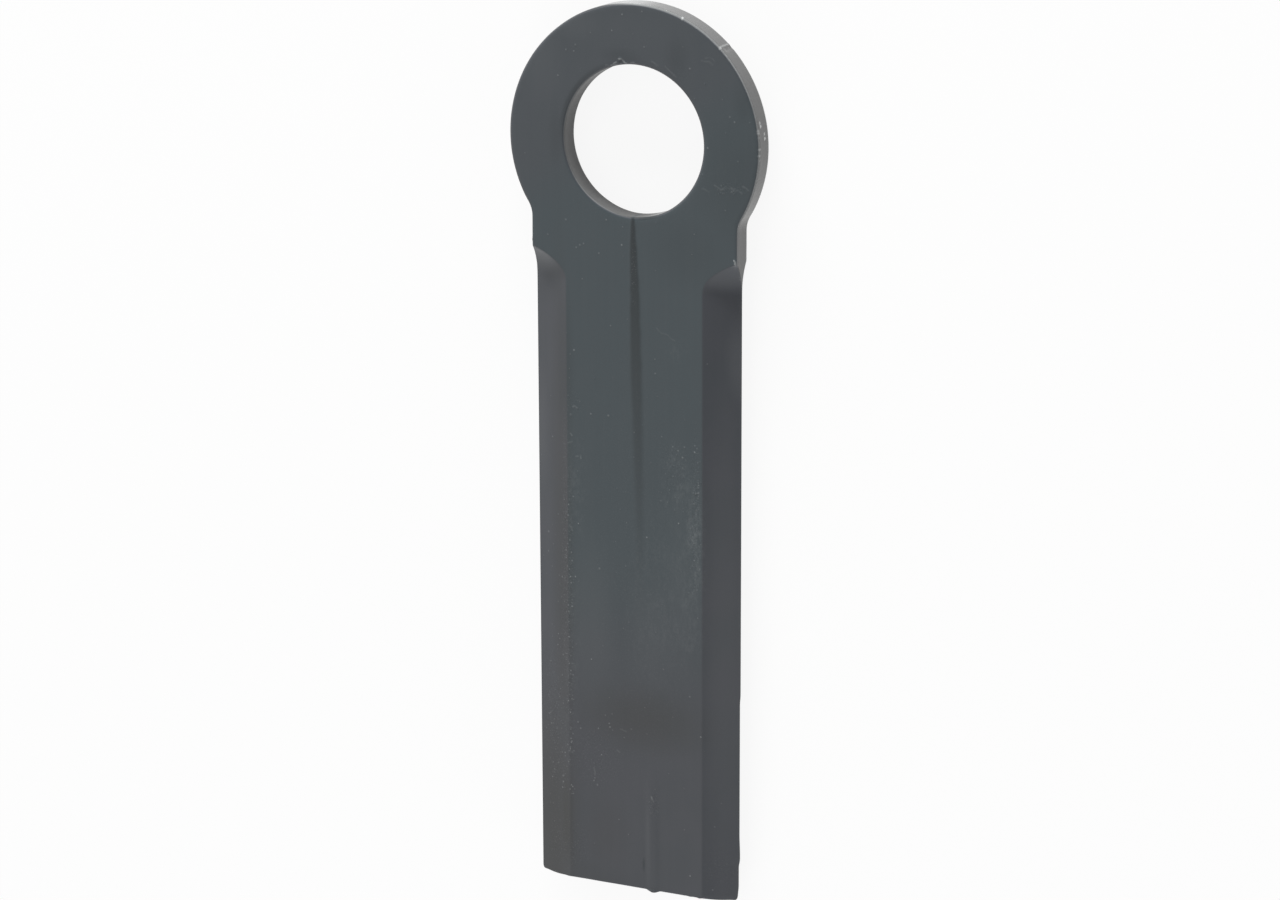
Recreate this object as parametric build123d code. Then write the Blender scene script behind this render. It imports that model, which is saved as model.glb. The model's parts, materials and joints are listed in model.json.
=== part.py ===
from build123d import *
import os
from math import atan2, cos, degrees, sin, sqrt

# Chopper knife: one flat steel blade with a round mounting eye at one end and a ground edge along each long side.
# The origin is the centre of the eye's bore, halfway through the thickness. X runs across the blade, -Y runs
# from the eye to the tip, and +Z comes out of the front face. All lengths are in millimetres.

# Flat bar
blade_width = 60.0
thickness = 6.3
tip_reach = 208.0  # from the bore's centre to the square tip
tip_corner_radius = 1.0

# Mounting eye
eye_overhang = 6.0  # how far the eye stands out past each side of the blade
bore_diameter = 40.7
neck_radius = 8.0  # hollow curve that leads from the eye into each side
edge_break = 0.4  # rounding where the flat faces meet the rim and the bore

# Ground bevels, one on each side of each face
bevel_width = 10.0
edge_land = 0.3  # thickness left along each cutting edge
bevel_start = 39.0  # from the bore's centre to where a bevel reaches its full width
run_out_radius = 15.0  # hollow curve in which a bevel rises back to the face

# Worked out from the sizes above
half_width = blade_width / 2
eye_radius = half_width + eye_overhang
bevel_angle = atan2((thickness - edge_land) / 2, bevel_width)


def plan_shape():
    """The outline of the flat piece: a round eye that narrows through two hollow necks to a straight bar."""
    bar = Pos(0, -tip_reach / 2) * Rectangle(blade_width, tip_reach)
    tip_corners = bar.vertices().group_by(Axis.Y)[0]
    bar = fillet(tip_corners, tip_corner_radius)
    plan = bar + Circle(eye_radius)
    neck_y = -sqrt(eye_radius**2 - half_width**2)
    neck_corners = [plan.vertices().sort_by_distance((x, neck_y))[0] for x in (-half_width, half_width)]
    plan = fillet(neck_corners, neck_radius)
    return plan - Circle(bore_diameter / 2)


def flat_piece():
    """The piece before grinding, at full thickness, with the edges of its two faces broken."""
    piece = extrude(plan_shape(), amount=thickness / 2, both=True)
    levels = piece.edges().group_by(Axis.Z)
    return fillet(levels[0] + levels[-1], edge_break)


def bevel_waste():
    """The steel that grinding takes off the right side of the front face.

    Its section is drawn as seen along the slope of the bevel: straight from the tip to the start of the bevel,
    then a hollow curve that rises out of the steel just below the neck.
    """
    inner_line = (half_width - bevel_width, 0, thickness / 2)
    slope = Vector(cos(bevel_angle), 0, -sin(bevel_angle))
    along_slope = Plane(origin=inner_line, x_dir=(0, 1, 0), z_dir=slope)
    past_tip = -tip_reach - bevel_width
    bevel = Line((past_tip, 0), (-bevel_start, 0))
    run_out = CenterArc((-bevel_start, run_out_radius), run_out_radius, -90, 90)
    back = Polyline(run_out @ 1, (past_tip, run_out_radius), bevel @ 0)
    section = make_face([bevel, run_out, back])
    slope_length = (eye_overhang + bevel_width) / cos(bevel_angle)
    return extrude(along_slope * section, amount=slope_length)


def chopper_knife():
    """The finished knife: the flat piece with the same bevel ground on both sides of both faces."""
    right_front = bevel_waste()
    left_front = mirror(right_front, about=Plane.YZ)
    right_back = mirror(right_front, about=Plane.XY)
    left_back = mirror(left_front, about=Plane.XY)
    return flat_piece() - [right_front, left_front, right_back, left_back]


os.makedirs("parts", exist_ok=True)
knife = chopper_knife()
print("bevel angle", round(degrees(bevel_angle), 1), "degrees")
export_step(knife, "parts/chopper_knife.step")
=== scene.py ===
import json
from math import atan2, cos, pi, radians, sin, sqrt, tan

import bpy
import numpy as np
from mathutils import Matrix, Vector
from mathutils.geometry import delaunay_2d_cdt
from mathutils.kdtree import KDTree


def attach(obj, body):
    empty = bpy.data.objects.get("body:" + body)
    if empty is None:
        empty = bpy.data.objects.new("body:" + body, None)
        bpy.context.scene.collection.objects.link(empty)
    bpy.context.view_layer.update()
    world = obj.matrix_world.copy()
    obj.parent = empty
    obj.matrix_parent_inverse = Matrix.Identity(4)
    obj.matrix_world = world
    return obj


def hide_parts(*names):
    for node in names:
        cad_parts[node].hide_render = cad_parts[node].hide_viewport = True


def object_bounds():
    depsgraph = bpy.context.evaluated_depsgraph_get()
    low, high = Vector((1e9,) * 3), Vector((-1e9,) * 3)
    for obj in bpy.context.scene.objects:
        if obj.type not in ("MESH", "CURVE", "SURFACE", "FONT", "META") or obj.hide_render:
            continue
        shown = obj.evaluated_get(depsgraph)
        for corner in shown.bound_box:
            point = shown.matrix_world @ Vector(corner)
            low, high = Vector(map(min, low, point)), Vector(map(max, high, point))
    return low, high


# A chopper knife that lies on its back on a pale floor. Sizes are in millimetres until a mesh is made.
# X runs across the blade, -Y from the eye to the tip and +Z out of the front face.
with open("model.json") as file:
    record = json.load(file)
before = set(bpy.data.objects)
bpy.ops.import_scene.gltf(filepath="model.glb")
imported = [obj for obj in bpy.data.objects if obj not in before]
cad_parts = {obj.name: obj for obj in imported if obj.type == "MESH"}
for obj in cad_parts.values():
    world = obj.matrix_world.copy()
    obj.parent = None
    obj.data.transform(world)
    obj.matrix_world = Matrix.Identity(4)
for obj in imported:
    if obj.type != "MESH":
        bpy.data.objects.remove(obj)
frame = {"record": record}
cad_low, cad_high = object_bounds()
MM = 0.001

# The knife's main sizes, from the frame
HALF_THICKNESS = cad_high.z / MM
EYE_RADIUS = cad_high.y / MM
TIP = cad_low.y / MM
BORE_RADIUS = next(m["dims"]["r_mm"] for m in frame["record"]["mounts"] if m["name"] == "eye_bore")

# The knife's other sizes, as its solid has them
HALF_WIDTH = 30.0
NECK_RADIUS = 8.0
TIP_CORNER_RADIUS = 1.0
EDGE_BREAK = 0.4
BEVEL_WIDTH = 10.0
EDGE_LAND = 0.3
BEVEL_START = 39.0
RUN_OUT_RADIUS = 15.0

BEVEL_ANGLE = atan2(HALF_THICKNESS - EDGE_LAND / 2, BEVEL_WIDTH)
INNER_LINE = HALF_WIDTH - BEVEL_WIDTH
NECK_CENTRE_X = HALF_WIDTH + NECK_RADIUS
NECK_CENTRE_Y = -sqrt((EYE_RADIUS + NECK_RADIUS) ** 2 - NECK_CENTRE_X**2)
NECK_TURN = atan2(-NECK_CENTRE_Y, NECK_CENTRE_X)


def smoothstep(low, high, value):
    """0 below low, 1 above high, and a smooth rise between them."""
    t = np.clip((value - low) / (high - low), 0, 1)
    return t * t * (3 - 2 * t)


def bump(distance, reach):
    """1 at no distance, falling smoothly to 0 at reach."""
    t = np.clip(1 - (distance / reach) ** 2, 0, 1)
    return t * t


def plateau(value, start, full, fade, end):
    """1 from full to fade, falling smoothly to 0 at start and at end."""
    return smoothstep(start, full, value) * (1 - smoothstep(fade, end, value))


# Form of the faces

CREST_SOFTNESS = 0.1  # height over which a bevel's inner line is rounded


def run_out_length(across):
    """How far a bevel's run-out reaches past the bevel's start, at a distance in from its inner line."""
    depth = np.clip(across, 0, None) * sin(BEVEL_ANGLE)
    return np.sqrt(np.clip(2 * RUN_OUT_RADIUS * depth - depth**2, 0, None))


def face_height(x, y):
    """Height of a face over mid-thickness: flat, down a bevel, or up the hollow where a bevel runs out."""
    slope = (np.abs(x) - INNER_LINE) * tan(BEVEL_ANGLE)
    along = np.clip(y + BEVEL_START, 0, RUN_OUT_RADIUS)
    rise = (RUN_OUT_RADIUS - np.sqrt(RUN_OUT_RADIUS**2 - along**2)) / cos(BEVEL_ANGLE)
    gap = rise - slope
    blend = np.clip(1 - np.abs(gap) / CREST_SOFTNESS, 0, None)
    return HALF_THICKNESS + np.minimum(gap, 0) - blend**2 * CREST_SOFTNESS / 4


# Outlines: each is a closed loop with the steel on its left, as points with their outward directions


def line(start, end, step):
    """Points from start to just before end, with the outward direction on the right of the way."""
    start, end = np.array(start, float), np.array(end, float)
    way = end - start
    length = np.hypot(*way)
    count = max(1, round(length / step))
    points = start + way * (np.arange(count) / count)[:, None]
    outward = np.array([way[1], -way[0]]) / length
    return points, np.tile(outward, (count, 1))


def arc(centre, radius, start, end, step):
    """Points from one angle to just before the other. Steel lies inside the arc if the angle grows."""
    count = max(2, round(abs(end - start) * radius / step))
    angles = start + (end - start) * np.arange(count) / count
    spokes = np.stack([np.cos(angles), np.sin(angles)], 1)
    outward = spokes if end > start else -spokes
    return np.array(centre, float) + radius * spokes, outward


def joined(pieces):
    """One loop from pieces that follow on from each other."""
    return np.concatenate([p for p, _ in pieces]), np.concatenate([n for _, n in pieces])


# Spacing of the points: round the eye, along the sides, and at the tip and in two zones of the eye's rim
RIM_STEP = 0.45
SIDE_STEP = 0.55
FINE_STEP = 0.25
NIB_ZONE = (radians(-4), radians(14))
SEAM_ZONE = (radians(41), radians(49))

# Where a bevel's run-out ends at the side, just inside the broken edge
END_INSET = EDGE_BREAK
RUN_OUT_TOP = -BEVEL_START + float(run_out_length(BEVEL_WIDTH - END_INSET))


def outside_loop():
    """The knife's outside, from the tip's left corner round by the right side and the eye."""
    flat_end = HALF_WIDTH - TIP_CORNER_RADIUS
    side_end = TIP + TIP_CORNER_RADIUS
    return joined([
        line((-flat_end, TIP), (-INNER_LINE, TIP), FINE_STEP),
        line((-INNER_LINE, TIP), (INNER_LINE, TIP), FINE_STEP),
        line((INNER_LINE, TIP), (flat_end, TIP), FINE_STEP),
        arc((flat_end, side_end), TIP_CORNER_RADIUS, -pi / 2, 0, FINE_STEP),
        line((HALF_WIDTH, side_end), (HALF_WIDTH, RUN_OUT_TOP), SIDE_STEP),
        line((HALF_WIDTH, RUN_OUT_TOP), (HALF_WIDTH, NECK_CENTRE_Y), SIDE_STEP),
        arc((NECK_CENTRE_X, NECK_CENTRE_Y), NECK_RADIUS, pi, pi - NECK_TURN, SIDE_STEP),
        arc((0, 0), EYE_RADIUS, -NECK_TURN, NIB_ZONE[0], RIM_STEP),
        arc((0, 0), EYE_RADIUS, *NIB_ZONE, FINE_STEP),
        arc((0, 0), EYE_RADIUS, NIB_ZONE[1], SEAM_ZONE[0], RIM_STEP),
        arc((0, 0), EYE_RADIUS, *SEAM_ZONE, FINE_STEP),
        arc((0, 0), EYE_RADIUS, SEAM_ZONE[1], pi + NECK_TURN, RIM_STEP),
        arc((-NECK_CENTRE_X, NECK_CENTRE_Y), NECK_RADIUS, NECK_TURN, 0, SIDE_STEP),
        line((-HALF_WIDTH, NECK_CENTRE_Y), (-HALF_WIDTH, RUN_OUT_TOP), SIDE_STEP),
        line((-HALF_WIDTH, RUN_OUT_TOP), (-HALF_WIDTH, side_end), SIDE_STEP),
        arc((-flat_end, side_end), TIP_CORNER_RADIUS, pi, 1.5 * pi, FINE_STEP),
    ])


def bore_loop():
    """The bore's edge."""
    return arc((0, 0), BORE_RADIUS, 2 * pi, 0, RIM_STEP)


# Wall rows, from the front face over the broken edge and down the side to the back face

ROUND_ROWS = 4
WALL_ROWS = 12
BREAK_SHARE = 0.65  # where the steel is thin, the broken edge takes this share of its half thickness


def wall(points, outward):
    """Rows of points that lead from the front face to the back face along a loop."""
    inset = np.full(len(points), EDGE_BREAK)
    for _ in range(3):  # the inset follows the height there, and settles in a few rounds
        inner = points - outward * inset[:, None]
        height = face_height(inner[:, 0], inner[:, 1])
        inset = np.minimum(EDGE_BREAK, BREAK_SHARE * height)
    turns = np.arange(ROUND_ROWS + 1) / ROUND_ROWS * pi / 2
    rows = []
    for turn in turns:
        flat = inner + outward * (inset * sin(turn))[:, None]
        rows.append(np.column_stack([flat, height - inset * (1 - cos(turn))]))
    straight = height - inset
    for share in np.linspace(1, -1, WALL_ROWS + 1)[1:-1]:
        rows.append(np.column_stack([rows[ROUND_ROWS][:, :2], straight * share]))
    mirrored = [row * (1, 1, -1) for row in rows[ROUND_ROWS::-1]]
    return np.array(rows + mirrored)


def wall_faces(first, rows, count):
    """Quads between the rows of a wall whose points start at an index."""
    index = first + np.arange(rows * count).reshape(rows, count)
    here, there = index, np.roll(index, -1, axis=1)
    quads = np.stack([here[:-1], here[1:], there[1:], there[:-1]], -1)
    return quads.reshape(-1, 4)


# Faces: a triangle mesh that follows the loops and the bevels' crests exactly

ROLL_RINGS = (0.65, 0.95, 1.3, 1.7)  # rings of points round the bore, by their distance from it
CREST_ROWS = (0.0, 0.2, 0.45)  # rows of points on each side of a crest, by their distance from it
CREST_POINTS = 24
CREST_CROWDING = 1.5  # over 1, the points of a crest's curved end crowd towards the inner line
EDGE_GAP = 0.1  # rings and rows stop this far inside the broken edges
LINE_GAP = 0.12  # least distance between the points of rings and rows
FILL_GAP = 0.62  # least distance between the points that fill a zone, as a share of their spacing
MARK_GRID = 0.17  # spacing of the fine points round marks

# Zones that are filled with points: two corners, and the spacing
WIDE_ZONE = ((-EYE_RADIUS, TIP), (EYE_RADIUS, EYE_RADIUS))
FRONT_ZONES = [
    (*WIDE_ZONE, 0.85),
    ((-2.5, -135), (4.5, -BORE_RADIUS), 0.45),
    ((2, TIP), (8, -172), 0.45),
    ((INNER_LINE, -BEVEL_START - 1), (HALF_WIDTH, RUN_OUT_TOP), 0.5),
    ((-HALF_WIDTH, -BEVEL_START - 1), (-INNER_LINE, RUN_OUT_TOP), 0.5),
]
BACK_ZONES = [(*WIDE_ZONE, 1.1)]


def crest(side, offset, step):
    """Points along a bevel's inner line and up the curved end of its run-out, moved off it by a distance."""
    across = np.linspace(0, BEVEL_WIDTH - END_INSET, CREST_POINTS) ** CREST_CROWDING
    across *= (BEVEL_WIDTH - END_INSET) / across[-1]
    curve = np.column_stack([INNER_LINE + across, -BEVEL_START + run_out_length(across)])
    straight, _ = line((INNER_LINE, TIP + END_INSET), (INNER_LINE, -BEVEL_START), step)
    path = np.concatenate([straight, curve])
    way = np.gradient(path, axis=0)
    off = np.column_stack([way[:, 1], -way[:, 0]]) / np.hypot(way[:, 0], way[:, 1])[:, None]
    return (path + off * offset) * (side, 1)


def hex_grid(low, high, spacing):
    """Points in even triangles over a rectangle."""
    rows = np.arange(low[1], high[1], spacing * sqrt(3) / 2)
    columns = np.arange(low[0], high[0], spacing)
    x = columns[None, :] + (np.arange(len(rows)) % 2)[:, None] * spacing / 2
    y = np.repeat(rows[:, None], len(columns), axis=1)
    return np.column_stack([x.ravel(), y.ravel()])


def apart(points, spacing, kept):
    """Those points that lie at least a spacing away from every kept point."""
    tree = KDTree(len(kept))
    for i, p in enumerate(kept):
        tree.insert((p[0], p[1], 0), i)
    tree.balance()
    clear = [tree.find((p[0], p[1], 0))[2] >= spacing for p in points]
    return points[np.array(clear, bool)]


def in_polygon(points, polygon):
    """Whether each point lies inside a closed polygon."""
    x, y = points[:, :1], points[:, 1:]
    ax, ay = polygon[:, 0], polygon[:, 1]
    bx, by = np.roll(ax, -1), np.roll(ay, -1)
    spans = (ay > y) != (by > y)
    cross_x = ax + (y - ay) * (bx - ax) / np.where(by == ay, 1, by - ay)
    return (spans & (x < cross_x)).sum(1) % 2 == 1


def on_plate(points, margin):
    """Whether each point lies on the plate, at least a margin inside its edges."""
    x, y = np.abs(points[:, 0]), points[:, 1]
    reach = np.hypot(x, y)
    eye = (reach < EYE_RADIUS - margin) & (reach > BORE_RADIUS + margin)
    bar = (x < HALF_WIDTH - margin) & (y > TIP + margin) & (y < 0) & (reach > BORE_RADIUS + margin)
    return eye | bar


def face_mesh(outer, inner, fine, zones):
    """Points and triangles of one face, from its loops, the fine points round marks, and zones."""
    fixed = np.concatenate([outer, inner])
    crests = [crest(side, offset, SIDE_STEP) for side in (-1, 1) for offset in CREST_ROWS]
    crests += [crest(side, -offset, SIDE_STEP) for side in (-1, 1) for offset in CREST_ROWS[1:]]
    rings = [arc((0, 0), BORE_RADIUS + out, 2 * pi, 0, RIM_STEP)[0] for out in ROLL_RINGS]
    lines = [fixed]
    for path in crests + rings:
        path = path[on_plate(path, EDGE_BREAK + EDGE_GAP)]
        lines.append(apart(path, LINE_GAP, np.concatenate(lines)))
    points = np.concatenate(lines)
    fills = [(fine, MARK_GRID)] + [(hex_grid(low, high, spacing), spacing) for low, high, spacing in zones]
    for fill, spacing in sorted(fills, key=lambda fill: fill[1]):
        fill = fill[on_plate(fill, EDGE_BREAK + spacing / 3)]
        points = np.concatenate([points, apart(fill, spacing * FILL_GAP, points)])
    loops = []
    first = 0
    for loop in (outer, inner):
        index = first + np.arange(len(loop))
        loops += list(zip(index.tolist(), np.roll(index, -1).tolist()))
        first += len(loop)
    made = delaunay_2d_cdt([Vector(p) for p in points], loops, [], 0, 1e-6, True)
    source = np.array([ids[0] for ids in made[3]])
    triangles = source[np.array(made[2])]
    a, b, c = (points[triangles[:, k]] for k in range(3))
    turn = (b[:, 0] - a[:, 0]) * (c[:, 1] - a[:, 1]) - (b[:, 1] - a[:, 1]) * (c[:, 0] - a[:, 0])
    triangles[turn < 0] = triangles[turn < 0][:, ::-1]
    edge_only = (triangles < len(fixed)).all(1)
    middle = points[triangles[edge_only]].mean(1)
    inside = in_polygon(middle, outer) & ~in_polygon(middle, inner)
    keep = np.ones(len(triangles), bool)
    keep[edge_only] = inside
    return points, triangles[keep]


# Relief: what cutting, grinding, handling and dip painting leave on the surface

FRONT = HALF_THICKNESS

# Random waves are a sum of sines: how many, their lengths as shares of the size, and the sum's divisor
SINES = 7
SINE_LENGTHS = (0.7, 1.6)
SINES_DIVISOR = 4


def waves(x, y, size, seed):
    """Smooth random waves between about -1 and 1, with crests about a size apart."""
    draw = np.random.default_rng(seed)
    total = np.zeros_like(x)
    for _ in range(SINES):
        angle, phase = draw.uniform(0, 2 * pi, 2)
        length = size * draw.uniform(*SINE_LENGTHS)
        total += np.sin((x * cos(angle) + y * sin(angle)) * 2 * pi / length + phase)
    return total / SINES_DIVISOR


def from_path(points, path):
    """Distance from each point to the nearest place on a path of straight runs."""
    path = np.array(path, float)
    nearest = np.linalg.norm(points - path[0], axis=1)
    for start, end in zip(path, path[1:]):
        way = end - start
        share = np.clip((points - start) @ way / (way @ way), 0, 1)
        nearest = np.minimum(nearest, np.linalg.norm(points - start - share[:, None] * way, axis=1))
    return nearest


# Thick paint that ran down from the bore, as a dark run that widens and fades out
RUN_LEFT = -1.0
RUN_TOP_SHIFT = (0.4, 5.0)  # how far the left side stands in at the top, and over what length
RUN_STRAIGHT = 40.0  # how far down the left side starts to drift
RUN_DRIFT = 0.035
RUN_THREAD = 0.2  # how far right the thin start of the run reaches
RUN_SPREAD = 2.35  # how much further it reaches in the end, and over what length it gets there
RUN_SPREAD_LENGTH = 22.0
RUN_LENGTH = 106.0
RUN_FADE_POWER = 1.3
RUN_WOBBLE_RIGHT = (0.12, 5)  # how far the right side wobbles, and over what length
RUN_WOBBLE_LEFT = (0.08, 4)
RUN_SOFTNESS = (0.25, 0.01)  # how soft its sides are at the top, and how much more with each millimetre
RUN_HEIGHT = 0.05
RUN_IN_BORE = 0.9  # its strength on the bore's wall


def paint_run(x, y):
    """How far each point lies in the run, from 0 to 1."""
    down = -BORE_RADIUS - y
    left = RUN_LEFT + RUN_DRIFT * np.clip(down - RUN_STRAIGHT, 0, None)
    left += RUN_TOP_SHIFT[0] * np.exp(-np.clip(down, 0, None) / RUN_TOP_SHIFT[1])
    right = RUN_THREAD + RUN_SPREAD * (1 - np.exp(-np.clip(down, 0, None) / RUN_SPREAD_LENGTH))
    right += RUN_WOBBLE_RIGHT[0] * waves(x * 0, y, RUN_WOBBLE_RIGHT[1], 6)
    left += RUN_WOBBLE_LEFT[0] * waves(x * 0, y, RUN_WOBBLE_LEFT[1], 7)
    soft = RUN_SOFTNESS[0] + RUN_SOFTNESS[1] * np.clip(down, 0, None)
    inside = smoothstep(left - soft, left + soft, x) * (1 - smoothstep(right - soft, right + soft, x))
    return inside * (1 - np.clip(down / RUN_LENGTH, 0, 1) ** RUN_FADE_POWER) * (down > -1)


# The run's end, a thin bead that leads to a hanging drip at the tip, and where it fades in
BEAD = [
    (4.6, -174.0, FRONT), (4.7, -184.0, FRONT), (4.9, -194.0, FRONT), (5.4, -201.0, FRONT), (5.6, TIP, FRONT),
]
BEAD_START = (172, 184)
BEAD_HALF_WIDTH = 2.3
BEAD_HEIGHT = 0.11

# Thick paint on the tip's end face, and how far up from the tip it starts and is full
TIP_PAINT = 0.12
TIP_PAINT_REACH = (1.5, 0.3)

# The tip's drips: where across the blade, half width, and how far they hang. Then the heights over
# mid-thickness where they start and are full
DRIPS = [
    (5.3, 2.4, 0.68), (-20.8, 1.4, 0.08), (16.4, 0.8, 0.08), (19.2, 0.8, 0.14), (-25.2, 5.0, 0.3),
    (23.8, 4.5, 0.15),
]
DRIP_HEIGHTS = (-3, 1.8)

# In the lists from here to the rim's top highlights, a place has its angle and its half width in degrees,
# and how much it adds.
# Thick paint on the rim and in the bore, all round and at places. The rim's also has where it starts and is
# full, out from the eye's centre and up along the knife
RIM_PAINT = 0.14
RIM_PAINT_MORE = [(78, 55, 0.2), (188, 60, 0.12)]
RIM_PAINT_OUT = (34, 35.5)
RIM_PAINT_UP = (-22, -16)
BORE_PAINT = 0.15
BORE_PAINT_MORE = [(281, 18, 0.1)]

# Painted shade in the bore: how dark its wall is painted, all round and at places
BORE_PAINTED_SHADE = 0.4
BORE_PAINTED_SHADE_MORE = [(262, 30, 0.12), (290, 14, -0.3), (200, 34, -0.13)]

# Painted highlights: how pale the bore's broken front edge is painted where it catches the light, and the rim
# at the eye's top, at places
BORE_EDGE_HIGHLIGHTS = [(235, 38, 0.26), (165, 80, 0.22)]
RIM_TOP_HIGHLIGHTS = [(93, 14, 0.3)]

# Painted highlight on the outside's front edge on the right: how pale it is painted round the eye and below
# it.
# Then where the second turns into the first, where across the knife they start and are full, and over what
# length they fade at the run-out's end
RIM_EDGE_HIGHLIGHT = 0.42
SIDE_EDGE_HIGHLIGHT = 0.25
HIGHLIGHT_UP = (-20, -10)
HIGHLIGHT_ACROSS = (-8, 2)
HIGHLIGHT_FADE = 1.0

# How far in the painted highlights on the outside's edges reach, from the eye's rim and from the right side
RIM_BAND = 1.5
SIDE_BAND = 0.8

# Dark bands on the face beside the bore: angle and half width in degrees, how far out the dark band is full
# and where it ends, and strength. The narrow one below the bore's bottom is a painted shadow of the bore's
# edge; the wide one at the upper left is a darker band of the face
DARK_BANDS_BY_BORE = [(147, 48, 0.9, 1.9, 0.45), (281, 16, 0.35, 0.7, 0.8)]

# The paint is thicker and bluer from the middle of the blade up: where that starts and is full, and the share
# of it that is missing to the upper left of a slanting line through the bore. Then that line's slope and
# softness
THICK_UP = (-165, -105)
THICK_LOSS = 0.6
LOSS_SLOPE = 0.5
LOSS_SOFTNESS = 10

# Soft dark patches painted into the paint: centre, half size, and strength. Those on the left bevel are
# painted shade that darkens that bevel; the others darken the lower face and the tip's end
SHADES = [
    ((3, -159), (26, 13), 0.36), ((-26, -197), (12, 58), 0.55), ((-22, -120), (5, 120), 0.32),
    ((-21.5, -192), (4.5, 30), 0.62), ((-22, -206), (30, 8), 0.15), ((-9, -194), (10, 16), 0.15),
]

# Soft darker patches, coloured like the run: centre, half size, and strength. The one on the left bevel's
# inner part, the one on the right flank of the run's bead and the one in the hook mark's pit are painted
# shade; the others are darker places on the ring and on the blade
DARK_PATCHES = [
    ((34, -8), (26, 26), 0.26), ((12.4, 22.5), (5, 8), 0.22), ((-22.8, 0), (3, 11), 0.2),
    ((-3.5, 22.4), (8, 2.6), 0.25), ((31.5, 11.6), (5, 9), 0.25), ((16, -28), (16, 14), 0.18),
    ((2.5, -200.9), (0.55, 3.0), 0.7), ((-3.4, 20.95), (1.1, 0.6), 0.55), ((6.9, -190), (1.3, 18), 0.1),
    ((-20.8, -60), (4, 27), 0.22),
]

# Soft paler patches on the flat face and on the bevels: centre, half size, and strength. On the face they are
# paler paint, but the narrow one on the left flank of the run's bead is painted light; on the bevels the one
# on the left run-out is painted light, and the others make the bevels paler towards their outer edges
PALER_AND_LIT_ON_FACE = [
    ((-13, -132), (9, 34), 0.035), ((13, -118), (9, 30), 0.02), ((6, -133), (10, 22), 0.025),
    ((-27, 21), (9, 16), 0.03), ((-17, 30), (13, 6), 0.03), ((-5, 30), (26, 9), 0.012),
    ((3.8, -196), (1.1, 22), 0.03),
]
PALER_AND_LIT_ON_BEVELS = [
    ((26, -140), (9, 100), 0.06), ((-28, -32.5), (8, 6.5), 0.135), ((29.5, -57), (5, 17), 0.06),
    ((-29.5, -82), (4, 24), 0.045),
]

# Where the paint is gritty with pale and dark grains: centre, half size, and strength
GRIT = [
    ((-20.3, -128), (3.2, 76), 1.0), ((-25, -165), (7, 36), 0.65), ((-12, -172), (12, 14), 0.5),
    ((18, -100), (3, 34), 0.8), ((-18, -72), (4, 5), 0.5), ((12, -88), (8, 12), 0.5),
    ((5.5, -183), (2.5, 6), 0.7), ((-22, -198), (12, 12), 0.5), ((25, -200), (8, 12), 0.25),
    ((0, -35), (1.5, 16), 0.7), ((28, -10), (8, 3), 0.5), ((0, -120), (34, 110), 0.18),
    ((0, 0), (44, 44), 0.18),
]

# Scuffs, which show as short pale streaks: centre, half size, and strength
SCUFFS = [
    ((17.9, -108), (3.8, 27), 1.25), ((12.5, -91), (7, 15), 0.75), ((15, -112), (5, 14), 0.5),
    ((16, -128), (6, 22), 0.6), ((8, -124), (16, 40), 0.3), ((-17.5, -96), (4.5, 22), 0.55),
    ((-19, -140), (4, 40), 0.4), ((12, -55), (6, 5), 0.3),
]

# Marks on the front: a path, half width, height over the paint, and how pale the paint is there
MARKS = [
    ([(-7.9, 19.4), (-7.1, 19.6)], 0.25, 0.05, 0.1),
    ([(-6.3, 19.75), (-5.7, 19.9), (-5.2, 20.3), (-4.8, 20.55)], 0.25, 0.1, 0.3),
    ([(-5.2, 19.95), (-4.4, 19.95)], 0.22, 0.08, 0.25),
    ([(-4.2, 21.35), (-3.2, 21.45), (-2.5, 21.0), (-2.1, 20.6)], 0.25, 0.12, 0.36),
    ([(-2.1, 20.6), (-1.6, 20.5)], 0.25, 0.1, 0.3),
    ([(-3.8, 20.85), (-3.1, 20.9)], 0.45, -0.15, 0.0),
    ([(-0.7, 20.7), (0.4, 20.65)], 0.25, 0.1, 0.25),
    ([(5.4, 21.3), (7.2, 20.6)], 0.3, 0.03, 0.08),
    ([(9.5, 20.5), (10.7, 19.3), (12.4, 17.8)], 0.3, 0.03, 0.08),
    ([(19.7, 22.6), (21.4, 22.5), (22.9, 21.7)], 0.3, 0.02, 0.06),
    ([(20.9, 23.4), (22.3, 23.4), (23.5, 22.7)], 0.3, 0.02, 0.06),
    ([(23.6, -9.9), (25.4, -10.8), (26.4, -10.3)], 0.35, 0.03, 0.08),
    ([(27.9, -9.8), (29.3, -10.9), (30.1, -10.4), (31.2, -11.3)], 0.35, 0.03, 0.08),
    ([(31.6, -9.6), (33.0, -10.4)], 0.4, 0.03, 0.09),
    ([(19.9, -11.0), (21.9, -11.6)], 0.35, 0.02, 0.06),
    ([(6.8, -49.4), (8.4, -50.7), (9.5, -51.0)], 0.3, 0.02, 0.05),
    ([(9.9, -51.0), (12.1, -52.4)], 0.3, 0.02, 0.05),
    ([(5.0, -180.9), (5.4, -182.2)], 0.33, 0.04, 0.22),
    ([(5.9, -183.3), (6.1, -184.6)], 0.35, -0.04, 0.0),
    ([(29.2, -29.3), (29.5, -29.8), (29.3, -30.3)], 0.38, 0.15, 0.8),
]

# The same for the one mark on the left side, with the height over mid-thickness in its path
SIDE_MARK = ([(-30.0, -28.5, 2.4), (-29.9, -28.5, 2.9)], 0.6, 0.16, 0.05)

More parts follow.
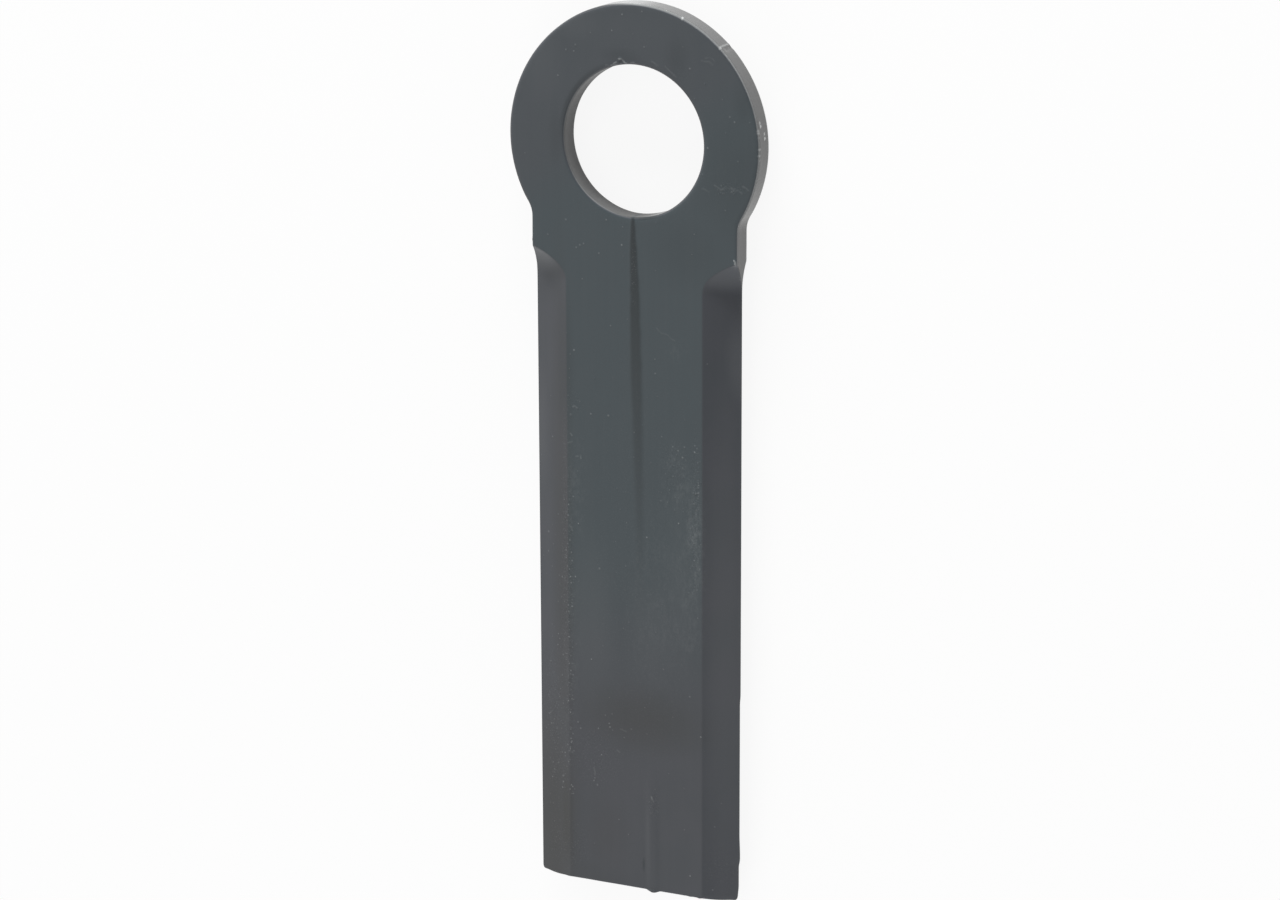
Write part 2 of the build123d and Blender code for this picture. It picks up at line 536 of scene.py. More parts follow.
# Small specks in the paint on the front: where, half width, and how pale
SPECKS = [
    (-3.4, -27.9, 0.3, 0.3), (-10.1, -30.7, 0.3, 0.15), (-15.1, -38.1, 0.25, 0.15),
    (-17.7, -57.8, 0.3, 0.3), (-25.2, -26.9, 0.25, 0.15), (17.7, -23.2, 0.25, 0.12),
    (6.3, -61.8, 0.3, 0.15), (-15.7, -29.0, 0.35, 0.12), (-12.8, -74.9, 0.3, 0.2), (-7.6, -74.8, 0.35, 0.2),
    (-25.1, -82.9, 0.3, 0.15), (8.2, -78.9, 0.25, 0.15), (13.0, -82.2, 0.3, 0.2), (14.3, -84.0, 0.35, 0.2),
    (17.8, -82.1, 0.25, 0.4), (-19.7, -100.9, 0.22, 0.45), (-16.8, -105.9, 0.22, 0.45),
    (13.1, -102.3, 0.25, 0.45), (3.7, -107.3, 0.25, 0.35), (-20.7, -113.9, 0.22, 0.35),
    (-20.7, -116.0, 0.22, 0.35), (7.9, -96.6, 0.3, 0.12), (-18.3, -98.5, 0.25, 0.2),
    (-13.1, -143.9, 0.22, 0.45), (-19.4, -148.0, 0.22, 0.35), (16.4, -150.5, 0.3, 0.15),
    (-17.3, -162.5, 0.3, 0.2), (-7.8, -161.6, 0.3, 0.2), (-19.4, -168.7, 0.22, 0.45),
    (-19.7, -170.6, 0.25, 0.25), (19.7, -161.5, 0.22, 0.5), (-10.2, -171.0, 0.25, 0.3),
    (-5.0, -189.0, 0.25, 0.15), (16.5, -202.0, 0.25, 0.35), (23.4, -187.0, 0.3, 0.12),
    (22.9, -205.3, 0.3, 0.15), (-19.4, 22.9, 0.3, 0.15), (-17.1, 22.7, 0.3, 0.15), (-16.6, 24.4, 0.35, 0.1),
    (3.3, 25.1, 0.25, 0.2), (16.4, 20.3, 0.3, 0.2), (2.7, 34.3, 0.25, 0.2), (27.8, 8.5, 0.3, 0.15),
    (29.1, 7.2, 0.3, 0.2), (21.5, -0.1, 0.3, 0.25), (30.1, -3.0, 0.25, 0.12), (-11.7, -65.0, 0.35, 0.0),
    (-10.5, -88.1, 0.35, 0.0), (-20.5, -95.7, 0.3, 0.0), (-5.0, -154.9, 0.35, 0.0),
    (-0.6, -165.1, 0.35, 0.0), (10.2, -167.3, 0.35, 0.0), (20.7, 16.6, 0.35, 0.0), (-3.0, 33.2, 0.28, 0.25),
    (-6.0, 28.8, 0.28, 0.2), (-21.8, 16.0, 0.28, 0.2), (-7.9, -21.5, 0.28, 0.2), (-3.1, -23.0, 0.25, 0.12),
    (-19.8, -22.5, 0.35, 0.12), (-14.6, -28.5, 0.28, 0.15), (-16.8, -29.7, 0.28, 0.18),
    (4.8, -20.3, 0.3, 0.2), (-16.5, -164.2, 0.3, 0.18), (-11.1, -163.5, 0.3, 0.2),
    (-7.6, -162.6, 0.35, 0.2), (-1.1, -162.3, 0.35, 0.09), (-12.3, -178.0, 0.25, 0.2),
    (-12.6, -178.8, 0.3, 0.22), (-11.5, -179.9, 0.38, 0.14), (-22.3, -179.1, 0.42, 0.12),
    (-19.9, -104.0, 0.3, 0.2), (-19.4, -110.9, 0.4, 0.13), (-10.5, -117.8, 0.4, 0.15),
    (-26.8, -109.9, 0.4, 0.13), (-18.8, -75.7, 0.42, 0.08),
]
SPECK_HEIGHT = 0.06
SPECK_STRENGTH = 1.3

# Short pale smudges on the front: start, end, half width, and how pale
SMUDGES = [
    ((-4.4, -162.8), (-2.7, -163.2), 0.35, 0.07), ((-19.7, -170.0), (-19.6, -171.4), 0.3, 0.18),
    ((-12.6, -175.0), (-12.2, -177.4), 0.3, 0.11), ((-5.4, -168.9), (-4.6, -169.6), 0.35, 0.09),
    ((-19.5, -106.8), (-18.8, -108.0), 0.4, 0.1), ((-18.2, -73.6), (-17.4, -73.2), 0.3, 0.14),
    ((-17.4, -73.2), (-16.7, -73.5), 0.3, 0.14), ((-19.1, -81.0), (-18.6, -81.7), 0.3, 0.18),
    ((-19.6, -83.6), (-18.5, -83.3), 0.3, 0.11), ((-17.4, -87.1), (-16.7, -87.2), 0.3, 0.18),
    ((-16.0, -86.8), (-15.9, -87.6), 0.3, 0.16),
]
SMUDGE_HEIGHT = 0.04

# Loose groups of small specks: centre, half size, how many, and how pale the palest one is
SPECK_GROUPS = [
    ((-19.4, -150), (1.6, 36), 75, 0.5), ((-19.3, -104), (1.8, 14), 10, 0.25),
    ((-19.3, -56), (0.9, 16), 10, 0.25), ((-22.0, -140), (1.6, 44), 30, 0.3),
    ((-25, -178), (3.0, 2.5), 5, 0.3), ((-27, -166), (1.6, 5), 8, 0.4), ((13.5, -84), (2.6, 3), 10, 0.35),
    ((18.7, -88), (1.2, 8), 18, 0.4), ((18, -110), (1.6, 20), 26, 0.4), ((12, -96), (4, 8), 14, 0.25),
    ((-6, -163), (8, 2), 6, 0.2), ((-22.6, -178), (2, 8), 10, 0.35), ((28, -10.4), (5.5, 1.4), 12, 0.25),
    ((3, 0), (33, 34), 60, 0.2), ((0, -125), (29, 80), 80, 0.2), ((-26, -150), (3, 45), 30, 0.2),
]
GROUP_SEED = 11
GROUP_SPREAD = 0.5  # how far its specks scatter across, as a share of its half width
GROUP_SIZES = (0.17, 0.28)  # half widths of its specks
GROUP_DULLNESS = 1.3  # over 1, more of its specks are dull
SPECK_MARGIN = 0.8  # how far inside the knife's edges all specks stay

# Nibs on the eye's rim: angle in degrees, height over mid-thickness, half width, how far out, and how pale, a
# painted glint on each nib
RIM_NIBS_AND_GLINTS = [
    (11.4, 1.4, 0.45, 0.1, 1.5), (10.0, 1.3, 0.5, 0.12, 1.7), (6.5, -0.45, 0.45, 0.1, 1.5),
    (4.5, -0.55, 0.5, 0.1, 1.7), (8.5, 2.95, 0.45, 0.08, 0.7), (7.6, 2.95, 0.45, 0.08, 0.9),
    (5.6, 3.0, 0.4, 0.06, 0.4), (0.8, 2.95, 0.4, 0.08, 1.0), (-1.8, 3.0, 0.45, 0.08, 0.8),
    (-3.8, 2.95, 0.4, 0.06, 0.3), (14.5, 2.9, 0.3, 0.05, 0.2), (16.5, 2.6, 0.3, 0.05, 0.15),
    (67.0, 2.95, 0.4, 0.04, 1.2), (46.3, 3.03, 0.42, 0.04, 1.3),
]

# Where the torch started and ended its cut round the eye: a thin ridge across the rim, with a dent beside it
SEAM_ANGLE = radians(46.9)
SEAM_HALF_WIDTH = 0.32
SEAM_PALENESS = 0.4
SEAM_HEIGHT = 0.15
DENT_ANGLE = radians(44.9)
DENT_SPAN = (0.9, -2.4)
DENT_HALF_WIDTH = 1.0
DENT_DEPTH = 0.15


def on_rim(angle, z):
    """A place on the eye's rim."""
    return (EYE_RADIUS * cos(angle), EYE_RADIUS * sin(angle), z)


def on_front(*path):
    """A path that is given in plan, laid on the front."""
    return [(x, y, float(face_height(x, y))) for x, y in path]


def all_marks():
    """Every mark as a path, half width, height and paleness."""
    seam = [on_rim(SEAM_ANGLE, z) for z in (-FRONT, FRONT)]
    dent = [on_rim(DENT_ANGLE, z) for z in DENT_SPAN]
    marks = [([(x, y, FRONT) for x, y in path], size, height, pale) for path, size, height, pale in MARKS]
    marks += [
        SIDE_MARK,
        (seam, SEAM_HALF_WIDTH, SEAM_HEIGHT, SEAM_PALENESS),
        (dent, DENT_HALF_WIDTH, -DENT_DEPTH, 0.0),
    ]
    marks += [([on_rim(radians(turn), z)], size, height, pale) for turn, z, size, height, pale in RIM_NIBS_AND_GLINTS]
    marks += [(on_front(start, end), size, SMUDGE_HEIGHT, pale) for start, end, size, pale in SMUDGES]
    specks = [(x, y, size, pale * SPECK_STRENGTH) for x, y, size, pale in SPECKS]
    draw = np.random.default_rng(GROUP_SEED)
    for (cx, cy), (wide, high), count, palest in SPECK_GROUPS:
        for _ in range(count):
            x, y = cx + wide * draw.normal(0, GROUP_SPREAD), cy + high * draw.uniform(-1, 1)
            size = draw.uniform(*GROUP_SIZES)
            specks.append((x, y, size, palest * draw.uniform(0, 1) ** GROUP_DULLNESS))
    for x, y, size, pale in specks:
        if on_plate(np.array([(x, y)]), SPECK_MARGIN)[0]:
            marks.append((on_front((x, y)), size, SPECK_HEIGHT, pale))
    return marks


# Wear along the right cutting edge: where each step starts and ends, and how far inward it leads
EDGE_WEAR = [
    (-196.0, -198.5, 0.34),  # the nick near the tip
    (-149.0, -152.0, 0.17),  # slight wear further up
    (-189.0, -195.0, -0.17),  # the end of that wear
    (-203.5, -208.5, 0.36),  # the tip's corner
]
EDGE_WEAR_FROM = 25  # how far out on the blade it starts to show

# How the bore's edges roll over: depth, and how far out it reaches
ROLL_DEPTH = 0.1
ROLL_REACH = 1.7


def warped(points):
    """Moves points for the wear of the right cutting edge and for the edges that roll over into the bore."""
    x, y, z = points.T
    inward = sum(depth * smoothstep(-start, -end, -y) for start, end, depth in EDGE_WEAR)
    inward *= smoothstep(EDGE_WEAR_FROM, HALF_WIDTH, x)
    out = np.hypot(x, y) - BORE_RADIUS
    roll = ROLL_DEPTH * np.clip(1 - np.clip(out, 0, None) / ROLL_REACH, 0, 1) ** 2
    return np.column_stack([x - inward, y, z * (1 - roll / HALF_THICKNESS)])


# Which way a surface faces decides what shows on it. Two values are where that starts and is full. Four are
# where it starts, is full, begins to fade and ends
FACING_FRONT = (0.3, 0.8)
FACING_TIP = (0.3, 0.9)
WALL_TO_FACE = (0.3, 0.7)
WALL_TO_FACE_AT_TOP = (0.3, 0.8)
BORE_EDGE = (0.05, 0.3, 0.55, 0.85)
OUTSIDE_EDGE = (0.05, 0.25, 0.75, 0.97)
BORE_BAND = 0.6  # how far out from the bore its broken edges reach, and a little more


def on_wall(normals, to_face=WALL_TO_FACE):
    """1 where the surface is steep, as on the rim, on the sides and in the bore, and 0 on the faces."""
    return 1 - smoothstep(*to_face, np.abs(normals[:, 2]))


def by_bore(x, y):
    """Whether each point lies in the bore or on its broken edges."""
    return np.hypot(x, y) < BORE_RADIUS + BORE_BAND


def round_eye(x, y, places):
    """What the places round the eye add at each point, fading out to the ends of each place."""
    turn = np.degrees(np.arctan2(y, x)) % 360
    return sum(more * bump(turn - middle, span) for middle, span, more in places)


# The paint's long and short waves: height, and distance between crests. The coat is let in a little, so that
# it stays level with the solid. Both shrink where the steel is thinner than twice FULL_WAVE_STEEL, down to a
# least share
WAVE = (0.03, 30)
RIPPLE = (0.008, 7)
LET_IN = 0.02
FULL_WAVE_STEEL = 1.5
LEAST_WAVE = 0.05


def paint_height(points, normals):
    """How far the dip paint stands out: its waves, the run and its bead, the drips and the thick edges."""
    x, y, z = points.T
    front = smoothstep(*FACING_FRONT, normals[:, 2])
    wave = WAVE[0] * waves(x, y, WAVE[1], 1) + RIPPLE[0] * waves(x + 3 * z, y - 2 * z, RIPPLE[1], 2)
    height = (wave - LET_IN) * np.clip(face_height(x, y) / FULL_WAVE_STEEL, LEAST_WAVE, 1)
    height += RUN_HEIGHT * paint_run(x, y) * front
    bead = bump(from_path(points, BEAD), BEAD_HALF_WIDTH) * smoothstep(*BEAD_START, -y)
    height += BEAD_HEIGHT * bead * front
    start, full = TIP_PAINT_REACH
    end = smoothstep(*FACING_TIP, -normals[:, 1]) * smoothstep(TIP + start, TIP + full, y)
    height += TIP_PAINT * end
    for across, span, hang in DRIPS:
        height += hang * bump(x - across, span) * end * smoothstep(*DRIP_HEIGHTS, z)
    rim = smoothstep(*RIM_PAINT_OUT, np.hypot(x, y)) * smoothstep(*RIM_PAINT_UP, y)
    rim_paint = RIM_PAINT + round_eye(x, y, RIM_PAINT_MORE)
    bore_paint = BORE_PAINT + round_eye(x, y, BORE_PAINT_MORE)
    return height + (rim_paint * rim + bore_paint * by_bore(x, y)) * on_wall(normals)


def painted_edge_highlights(points, normals):
    """Painted highlights that make the edges pale: the bore's front edge, the one on the outside, and the
    rim's top.
    """
    x, y, _ = points.T
    pale = round_eye(x, y, BORE_EDGE_HIGHLIGHTS) * plateau(normals[:, 2], *BORE_EDGE) * by_bore(x, y)
    outside = (np.hypot(x, y) > EYE_RADIUS - RIM_BAND) | (x > HALF_WIDTH - SIDE_BAND)
    right = smoothstep(*HIGHLIGHT_ACROSS, x) * smoothstep(RUN_OUT_TOP - HIGHLIGHT_FADE, RUN_OUT_TOP, y)
    strength = SIDE_EDGE_HIGHLIGHT + (RIM_EDGE_HIGHLIGHT - SIDE_EDGE_HIGHLIGHT) * smoothstep(*HIGHLIGHT_UP, y)
    pale += strength * plateau(normals[:, 2], *OUTSIDE_EDGE) * outside * right
    return pale + round_eye(x, y, RIM_TOP_HIGHLIGHTS) * on_wall(normals, WALL_TO_FACE_AT_TOP) * outside


# Marks with a path are uneven. Their sides wander: how far, and how far apart the crests are. Their strength
# changes along the way: its average, how much it changes, and how far apart those crests are
WANDER = (0.2, 2.4)
MARK_STRENGTH = (0.7, 0.6, 1.7)


def relief(points, normals, marks):
    """How far the painted surface stands out at each point, and how pale its marks and painted highlights
    make it there.
    """
    x, y, z = points.T
    height, pale = paint_height(points, normals), painted_edge_highlights(points, normals)
    wander, size = WANDER
    shaken = points + wander * np.column_stack(
        [waves(x, y + z, size, 3), waves(x - z, y, size, 4), np.zeros(len(x))])
    average, change, size = MARK_STRENGTH
    broken = np.clip(average + change * waves(x + 2 * z, y - z, size, 5), 0, 1)
    for path, half_width, stand, paleness in marks:
        low, high = np.min(path, 0) - half_width, np.max(path, 0) + half_width
        near = np.flatnonzero(((points > low) & (points < high)).all(1))
        if len(near) and len(path) > 1:
            share = bump(from_path(shaken[near], path), half_width) * broken[near]
        elif len(near):
            share = bump(from_path(points[near], path), half_width)
        else:
            continue
        height[near] += stand * share
        pale[near] = np.maximum(pale[near], paleness * share**0.5)
    return height, pale


def patches(x, y, places):
    """A smooth value that is highest at the centre of each patch."""
    total = np.zeros_like(x)
    for (cx, cy), (wide, high), strength in places:
        total = np.maximum(total, strength * bump(np.hypot((x - cx) / wide, (y - cy) / high), 1))
    return total


def vertex_normals(points, faces):
    """Directions in which the surface faces at each point."""
    a, b, c = (points[faces[:, k]] for k in range(3))
    across = np.cross(b - a, c - a)
    total = np.zeros_like(points)
    for k in range(3):
        np.add.at(total, faces[:, k], across)
    return total / np.linalg.norm(total, axis=1)[:, None]


def mark_points(marks):
    """Fine points round each mark that lies on the front, all on one even grid."""
    cell = np.array((MARK_GRID, MARK_GRID * sqrt(3)))
    fine = []
    for path, half_width, _, _ in marks:
        path = np.array(path)
        in_eye = np.hypot(path[:, 0], path[:, 1]).max() < EYE_RADIUS - EDGE_BREAK - EDGE_GAP
        if path[:, 2].min() > 0 and in_eye or path[0, 1] < -BORE_RADIUS:
            reach = half_width + MARK_GRID
            low = np.floor((path[:, :2].min(0) - reach) / cell) * cell
            fine.append(hex_grid(low, path[:, :2].max(0) + reach, MARK_GRID))
    fine = np.concatenate(fine)
    _, first = np.unique(np.round(fine / (MARK_GRID / 4)), axis=0, return_index=True)
    return fine[np.sort(first)]


def knife_mesh():
    """The whole surface of the knife as one closed mesh, with its points' directions and paleness."""
    marks = all_marks()
    outside = wall(*outside_loop())
    bore = wall(*bore_loop())
    rows, outside_count = outside.shape[:2]
    bore_count = bore.shape[1]
    walls = np.concatenate([outside.reshape(-1, 3), bore.reshape(-1, 3)])
    bore_first = rows * outside_count
    quads = np.concatenate([
        wall_faces(0, rows, outside_count),
        wall_faces(bore_first, rows, bore_count),
    ])
    faces = [quads[:, [0, 1, 2]], quads[:, [0, 2, 3]]]
    points = [walls]
    total = len(walls)
    for row, sign, fine, zones in (
            (0, 1, mark_points(marks), FRONT_ZONES), (rows - 1, -1, np.empty((0, 2)), BACK_ZONES)):
        flat, triangles = face_mesh(outside[row, :, :2], bore[row, :, :2], fine, zones)
        loops = outside_count + bore_count
        own = flat[loops:]
        points.append(np.column_stack([own, sign * face_height(own[:, 0], own[:, 1])]))
        index = np.concatenate([
            row * outside_count + np.arange(outside_count),
            bore_first + row * bore_count + np.arange(bore_count),
            total + np.arange(len(own)),
        ])
        faces.append(index[triangles][:, ::sign])
        total += len(own)
    points, faces = np.concatenate(points), np.concatenate(faces)
    normals = vertex_normals(points, faces)
    height, pale = relief(points, normals, marks)
    return warped(points + normals * height[:, None]), faces, normals, pale


def mesh_object(name, points, faces):
    """An object from points in millimetres and triangles, smoothly shaded."""
    mesh = bpy.data.meshes.new(name)
    mesh.from_pydata((points * MM).tolist(), [], faces.tolist())
    mesh.validate()
    mesh.shade_smooth()
    made = bpy.data.objects.new(name, mesh)
    bpy.context.scene.collection.objects.link(made)
    return made


def add_values(mesh, name, values):
    """Stores one number for each point of a mesh, for its material."""
    layer = mesh.attributes.new(name, "FLOAT", "POINT")
    layer.data.foreach_set("value", values.astype(np.float32))


# Material

# Linear colours of the paint in its places, of its dark grains, and of pale marks and wear, which also serves
# the painted highlights and glints. The walls' colour is a painted sheen, the bore's is painted shade, and
# the run's and the shade's colours also paint shade
PAINT = (0.0550, 0.0600, 0.0677, 1)
PAINT_CLOUDS = (0.0592, 0.0626, 0.0712, 1)
PAINT_THICK = (0.0495, 0.0636, 0.0710, 1)
PAINT_STREAKS = (0.1, 0.105, 0.11, 1)
PAINTED_SHEEN_ON_WALLS = (0.064, 0.065, 0.065, 1)
PAINTED_SHADE_IN_BORE = (0.03, 0.03, 0.03, 1)
PAINT_IN_SHADE = (0.034, 0.033, 0.028, 1)
PAINT_IN_RUN_AND_SHADE = (0.024, 0.030, 0.033, 1)
DARK_GRAIN = (0.02, 0.02, 0.018, 1)
PALE_MARKS_AND_HIGHLIGHTS = (0.33, 0.34, 0.34, 1)
STREAK_SHARE = 0.03

# How high the paint's fine grain stands, its least and greatest roughness, and how much rougher the bore is
GRAIN_HEIGHT = 0.006
ROUGHNESS = (0.19, 0.25)
BORE_ROUGHER = 0.6


class Nodes:
    """Short calls for the nodes of one material or world."""

    def __init__(self, tree):
        self.tree = tree
        tree.nodes.clear()

    def add(self, kind, inputs=None, **settings):
        """A new node of a kind, with values or other nodes' outputs for its inputs."""
        node = self.tree.nodes.new("ShaderNode" + kind)
        for key, value in settings.items():
            setattr(node, key, value)
        for key, value in (inputs or {}).items():
            self.put(node.inputs[key], value)
        return node

    def put(self, socket, value):
        """Gives an input its value, or links it to another node's output."""
        if isinstance(value, bpy.types.NodeSocket):
            self.tree.links.new(value, socket)
        else:
            socket.default_value = value

    def math(self, operation, *values):
        """The result of one sum or product."""
        node = self.add("Math", operation=operation)
        for socket, value in zip(node.inputs, values):
            self.put(socket, value)
        return node.outputs[0]

    def ramp(self, value, low, high, out_low=0.0, out_high=1.0):
        """A value taken from one range to another, held at its ends."""
        inputs = {"Value": value, "From Min": low, "From Max": high, "To Min": out_low, "To Max": out_high}
        return self.add("MapRange", inputs).outputs[0]

    def mix(self, share, first, second):
        """The first colour, with a share of the second in it."""
        node = self.add("Mix", data_type="RGBA")
        for socket, value in zip((node.inputs[0], node.inputs[6], node.inputs[7]), (share, first, second)):
            self.put(socket, value)
        return node.outputs[2]


def grey_paint():
    """Dark slate-grey dip paint, satin, with a darker run, pale specks and scuffs, and neutral edges; painted
    shade, painted highlights and glints, and a painted sheen on the walls.
    """
    material = bpy.data.materials.new("grey_paint")
    material.use_nodes = True
    n = Nodes(material.node_tree)
    place = n.add("TexCoord").outputs["Object"]
    place = n.add("VectorMath", {0: place, "Scale": 1 / MM}, operation="SCALE").outputs[0]
    run, shade, pale, scuff, grit, thick, on_walls, bore = (
        n.add("Attribute", attribute_name=name).outputs["Fac"]
        for name in ("run", "shade", "pale", "scuff", "grit", "thick", "wall", "bore"))
    lengthwise = n.add("VectorMath", {0: place, 1: (1, 0.04, 1)}, operation="MULTIPLY").outputs[0]
    short = n.add("VectorMath", {0: place, 1: (1, 0.55, 1)}, operation="MULTIPLY").outputs[0]
    cloud = n.add("TexNoise", {"Vector": place, "Scale": 0.06, "Detail": 3.0}).outputs["Fac"]
    streaks = n.add("TexNoise", {"Vector": lengthwise, "Scale": 0.5, "Detail": 2.0}).outputs["Fac"]
    rubs = n.add("TexNoise", {"Vector": short, "Scale": 1.1, "Detail": 4.0, "Roughness": 0.7}).outputs["Fac"]
    blotches = n.add("TexNoise", {"Vector": short, "Scale": 0.25, "Detail": 1.0}).outputs["Fac"]
    grain = n.add("TexNoise", {"Vector": place, "Scale": 1.1, "Detail": 2.0}).outputs["Fac"]
    grains = n.add("TexNoise", {"Vector": place, "Scale": 2.3, "Detail": 1.0}).outputs["Fac"]
    colour = n.mix(n.ramp(cloud, 0.35, 0.65), PAINT, PAINT_CLOUDS)
    colour = n.mix(thick, colour, PAINT_THICK)
    colour = n.mix(n.math("MULTIPLY", n.ramp(streaks, 0.35, 0.65), STREAK_SHARE), colour, PAINT_STREAKS)
    # Painted sheen: the walls take a neutral, slightly paler colour
    colour = n.mix(on_walls, colour, PAINTED_SHEEN_ON_WALLS)
    # Painted shade in the bore
    colour = n.mix(bore, colour, PAINTED_SHADE_IN_BORE)
    # Soft dark patches, painted shade on the left bevel
    colour = n.mix(shade, colour, PAINT_IN_SHADE)
    # The run's colour, which also paints shade beside the bore, on the left bevel and by the bead
    colour = n.mix(run, colour, PAINT_IN_RUN_AND_SHADE)
    rubbed = n.math("MULTIPLY", n.ramp(rubs, 0.42, 0.72, 0.01, 0.17), n.ramp(blotches, 0.35, 0.6, 0.25, 1.0))
    pale = n.math("ADD", pale, n.math("MULTIPLY", scuff, rubbed))
    pale = n.math("ADD", pale, n.math("MULTIPLY", grit, n.ramp(grains, 0.6, 0.74, 0.0, 0.16)))
    colour = n.mix(n.math("MULTIPLY", grit, n.ramp(grains, 0.42, 0.3, 0.0, 0.4)), colour, DARK_GRAIN)
    # Pale marks and wear, with painted highlights on the edges and painted glints on the rim's nibs
    colour = n.mix(pale, colour, PALE_MARKS_AND_HIGHLIGHTS)
    rough = n.math("ADD", n.ramp(grain, 0.3, 0.7, *ROUGHNESS), n.math("MULTIPLY", bore, BORE_ROUGHER))
    bumps = n.add("Bump", {"Height": grain, "Strength": 1.0, "Distance": GRAIN_HEIGHT * MM})
    shader = n.add("BsdfPrincipled", {
        "Base Color": colour, "Roughness": rough, "IOR": 1.5, "Normal": bumps.outputs[0]})
    n.add("OutputMaterial", {"Surface": shader.outputs[0]})
    return material


# Stage

PHOTO_AZIMUTH = radians(25.575)
PHOTO_ELEVATION = radians(14.86)
PHOTO_ROLL = radians(0.182)
PHOTO_DISTANCE = 1039.7
PHOTO_TARGET = (0.252, -84.2, 0.0)
PHOTO_FOCAL_LENGTH = 3882.9 / 1280  # in picture widths
SENSOR_WIDTH = 36.0


def photo_camera():
    """The photo's view: it looks down the front face's own direction, turned to its right and above it."""
    back = Vector((sin(PHOTO_AZIMUTH) * cos(PHOTO_ELEVATION), sin(PHOTO_ELEVATION),
                   cos(PHOTO_AZIMUTH) * cos(PHOTO_ELEVATION)))
    level = Vector((cos(PHOTO_AZIMUTH), 0, -sin(PHOTO_AZIMUTH)))
    right = Matrix.Rotation(-PHOTO_ROLL, 3, back) @ level
    up = back.cross(right)
    data = bpy.data.cameras.new("camera")
    data.sensor_width = SENSOR_WIDTH
    data.lens = PHOTO_FOCAL_LENGTH * SENSOR_WIDTH
    data.clip_start, data.clip_end = 0.05, 20
    camera = bpy.data.objects.new("camera", data)
    turn = Matrix((right, up, back)).transposed().to_4x4()
    camera.matrix_world = Matrix.Translation((Vector(PHOTO_TARGET) + back * PHOTO_DISTANCE) * MM) @ turn
    bpy.context.scene.collection.objects.link(camera)
    bpy.context.scene.camera = camera
    return back


FLOOR_HALF_SIZE = 3000.0
FLOOR_GREY = 0.85
FLOOR_GLOW = 0.9  # how much of the floor shows as plain white, whatever the light


def pale_floor():
    """A wide white floor that shows as white paper with the knife's soft shadow on it."""
    corners = FLOOR_HALF_SIZE * np.array([(-1, -1, 0), (1, -1, 0), (1, 1, 0), (-1, 1, 0)])
    floor = mesh_object("floor", corners + (0, 0, -HALF_THICKNESS), np.array([(0, 1, 2), (0, 2, 3)]))
    material = bpy.data.materials.new("paper")
    material.use_nodes = True
    n = Nodes(material.node_tree)
    path = n.add("LightPath").outputs
    seen = n.math("MAXIMUM", n.math("MAXIMUM", path["Is Camera Ray"], path["Is Glossy Ray"]),
                  path["Is Transmission Ray"])
    plain = n.add("BsdfDiffuse", {"Color": (FLOOR_GREY, FLOOR_GREY, FLOOR_GREY, 1)}).outputs[0]
    white = n.add("Emission", {"Color": (1, 1, 1, 1), "Strength": 1.0}).outputs[0]
    share = n.math("MULTIPLY", seen, FLOOR_GLOW)
    shader = n.add("MixShader", {0: share, 1: plain, 2: white}).outputs[0]
    n.add("OutputMaterial", {"Surface": shader})
    material.cycles.emission_sampling = "NONE"
    floor.data.materials.append(material)


# Brightness of the surroundings, and how it falls off as their direction nears the photographer's
SKY = 0.78
SKY_DARKEST = 0.15
SKY_FALL = (0.5, 0.92)

# Long low lamps just above the floor, which light the knife's edges: name, place in metres, and watts
LAMPS = [
    ("top_lamp", (-0.25, 1.28, 0.16), 52),
    ("side_lamp", (1.05, -0.9, 0.09), 14),
    ("tip_lamp", (-0.5, -1.35, 0.3), 12),
]
LAMP_SIZE = (1.0, 0.3)
LAMPS_FACE = Vector((0, -0.05, 0))  # the place on the knife that they face


def soft_lamp(name, place, watts):
    """A wide lamp that faces the knife."""
    data = bpy.data.lights.new(name, "AREA")
    data.shape = "RECTANGLE"
    data.size, data.size_y = LAMP_SIZE
    data.energy = watts
    lamp = bpy.data.objects.new(name, data)
    lamp.location = place
    lamp.visible_glossy = False
    lamp.rotation_euler = (LAMPS_FACE - lamp.location).to_track_quat("-Z", "Y").to_euler()
    bpy.context.scene.collection.objects.link(lamp)


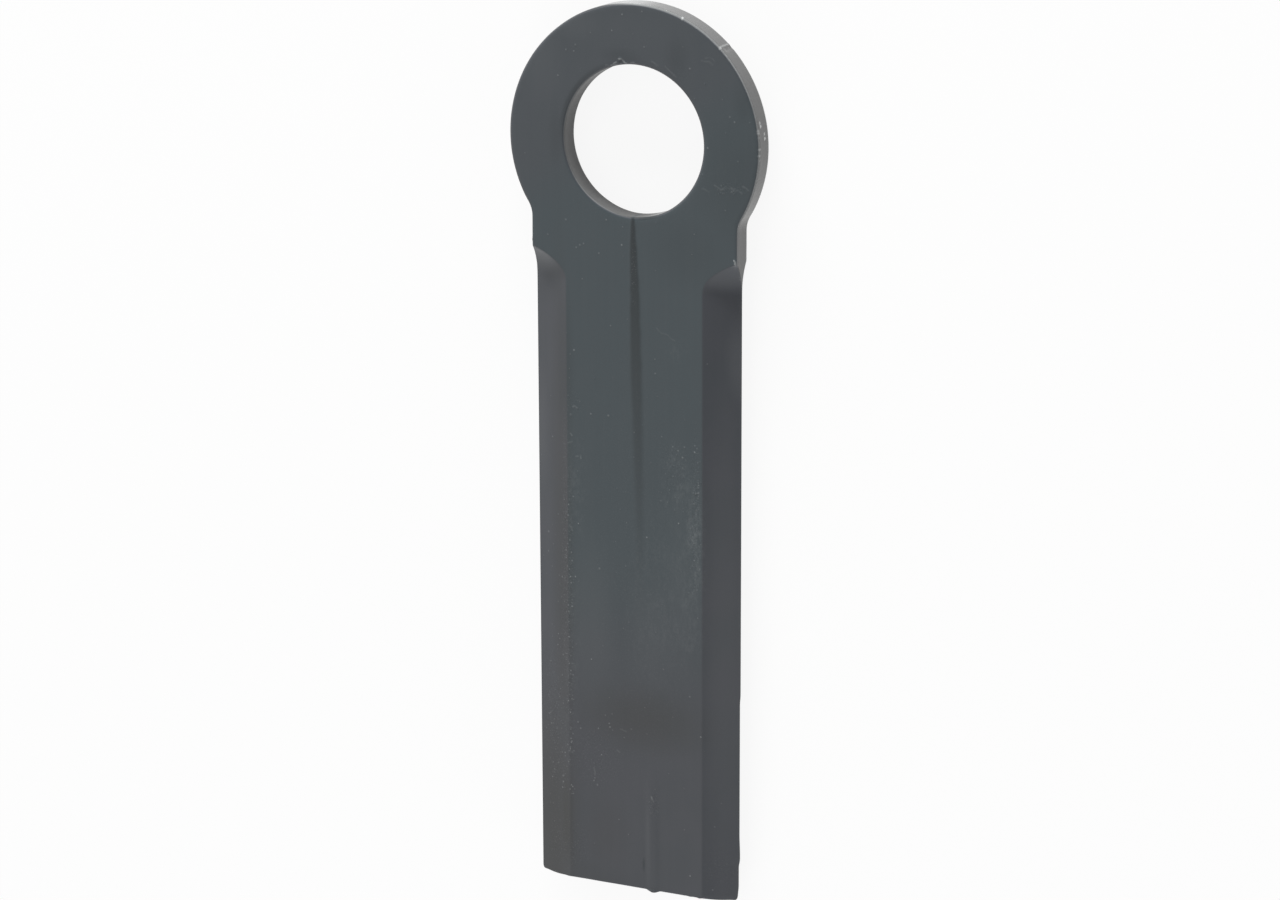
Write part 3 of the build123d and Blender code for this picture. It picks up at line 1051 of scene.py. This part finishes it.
def studio(towards_camera):
    """White surroundings that darken towards the place of the photographer, and the lamps."""
    world = bpy.data.worlds.new("studio")
    world.use_nodes = True
    n = Nodes(world.node_tree)
    place = n.add("TexCoord").outputs["Generated"]
    near = n.add("VectorMath", {0: place, 1: tuple(towards_camera)}, operation="DOT_PRODUCT").outputs["Value"]
    fall = {
        "Value": near, "From Min": SKY_FALL[0], "From Max": SKY_FALL[1], "To Min": SKY, "To Max": SKY_DARKEST}
    light = n.add("MapRange", fall, interpolation_type="SMOOTHSTEP").outputs[0]
    background = n.add("Background", {"Color": (1, 1, 1, 1), "Strength": light}).outputs[0]
    n.add("OutputWorld", {"Surface": background})
    bpy.context.scene.world = world
    for name, place, watts in LAMPS:
        soft_lamp(name, place, watts)


# The knife in its paint. How far up a surface faces on the front, and where the flat face starts and is full
FRONT_FROM = 0.3
FLAT_FROM = (0.985, 0.995)


def dressed_knife():
    """The knife's painted surface, with the values that its material reads."""
    points, faces, normals, pale = knife_mesh()
    print("knife has", len(points), "points and", len(faces), "triangles")
    knife = mesh_object("knife", points, faces)
    x, y, _ = points.T
    front = normals[:, 2] > FRONT_FROM
    flat = smoothstep(*FLAT_FROM, np.abs(normals[:, 2]))
    in_bore = on_wall(normals) * by_bore(x, y)
    run = paint_run(x, y)
    out = np.hypot(x, y) - BORE_RADIUS
    # The dark bands by the bore, one of them a painted shadow, and the darker patches, some of them painted
    # shade
    ring = sum(
        round_eye(x, y, [(middle, span, strength)]) * (1 - smoothstep(full, end, out))
        for middle, span, full, end, strength in DARK_BANDS_BY_BORE)
    darkened = np.maximum(run, np.maximum(patches(x, y, DARK_PATCHES), ring)) * front
    # Paler patches, with painted light on the left run-out and on the bead's left flank
    paler_and_lit = np.where(front, patches(x, y, PALER_AND_LIT_ON_FACE) * flat + patches(x, y, PALER_AND_LIT_ON_BEVELS) * (1 - flat), 0)
    upper_left = smoothstep(-LOSS_SOFTNESS, LOSS_SOFTNESS, y - LOSS_SLOPE * x)
    values = {
        # The run, with the darker patches and bands, which hold painted shade and a painted shadow
        "run": np.maximum(darkened, RUN_IN_BORE * run * in_bore),
        "shade": patches(x, y, SHADES) * front,
        # Paleness of marks and wear, with painted highlights on the edges and painted glints on the rim's
        # nibs
        "pale": np.maximum(pale, paler_and_lit),
        "grit": patches(x, y, GRIT) * front,
        "scuff": patches(x, y, SCUFFS) * front,
        "thick": flat * smoothstep(*THICK_UP, y) * (1 - THICK_LOSS * upper_left),
        # The walls, which get a painted sheen
        "wall": on_wall(normals),
        # Painted shade in the bore, which also makes it rougher
        "bore": in_bore * (BORE_PAINTED_SHADE + round_eye(x, y, BORE_PAINTED_SHADE_MORE)),
    }
    for name, value in values.items():
        add_values(knife.data, name, value)
    knife.data.materials.append(grey_paint())
    return knife


def main():
    """The knife in the place of its solid, on the stage that the photo shows."""
    knife = dressed_knife()
    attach(knife, "root")
    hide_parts("chopper_knife")
    pale_floor()
    studio(photo_camera())
    bpy.context.scene.view_settings.view_transform = "Standard"


main()
